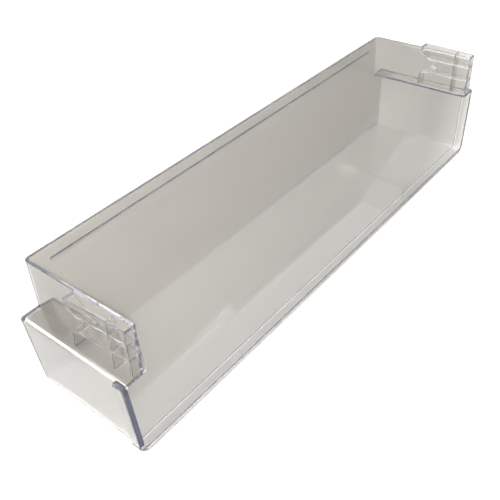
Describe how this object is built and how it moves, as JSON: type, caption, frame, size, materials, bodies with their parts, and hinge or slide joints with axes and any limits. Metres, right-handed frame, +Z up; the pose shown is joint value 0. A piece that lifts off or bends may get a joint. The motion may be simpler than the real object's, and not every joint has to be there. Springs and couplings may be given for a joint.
{
  "type": "fridge door shelf",
  "caption": "Clear moulded door shelf: an open-backed tray with a wide front, stepped ends, a rim bead and ribbed hanging slots on its ends.",
  "frame": {"origin": "under the middle of the overall box, on the plane of the floor's underside", "axes": "+X along the shelf, +Y from the front wall to the open rear that faces the door, +Z up as it hangs"},
  "size_m": [0.48, 0.1094, 0.1045],
  "materials": {
    "clear_plastic": "clear, glossy, moulded"
  },
  "bodies": {
    "root": {"door_shelf": "clear_plastic"}
  },
  "joints": []
}
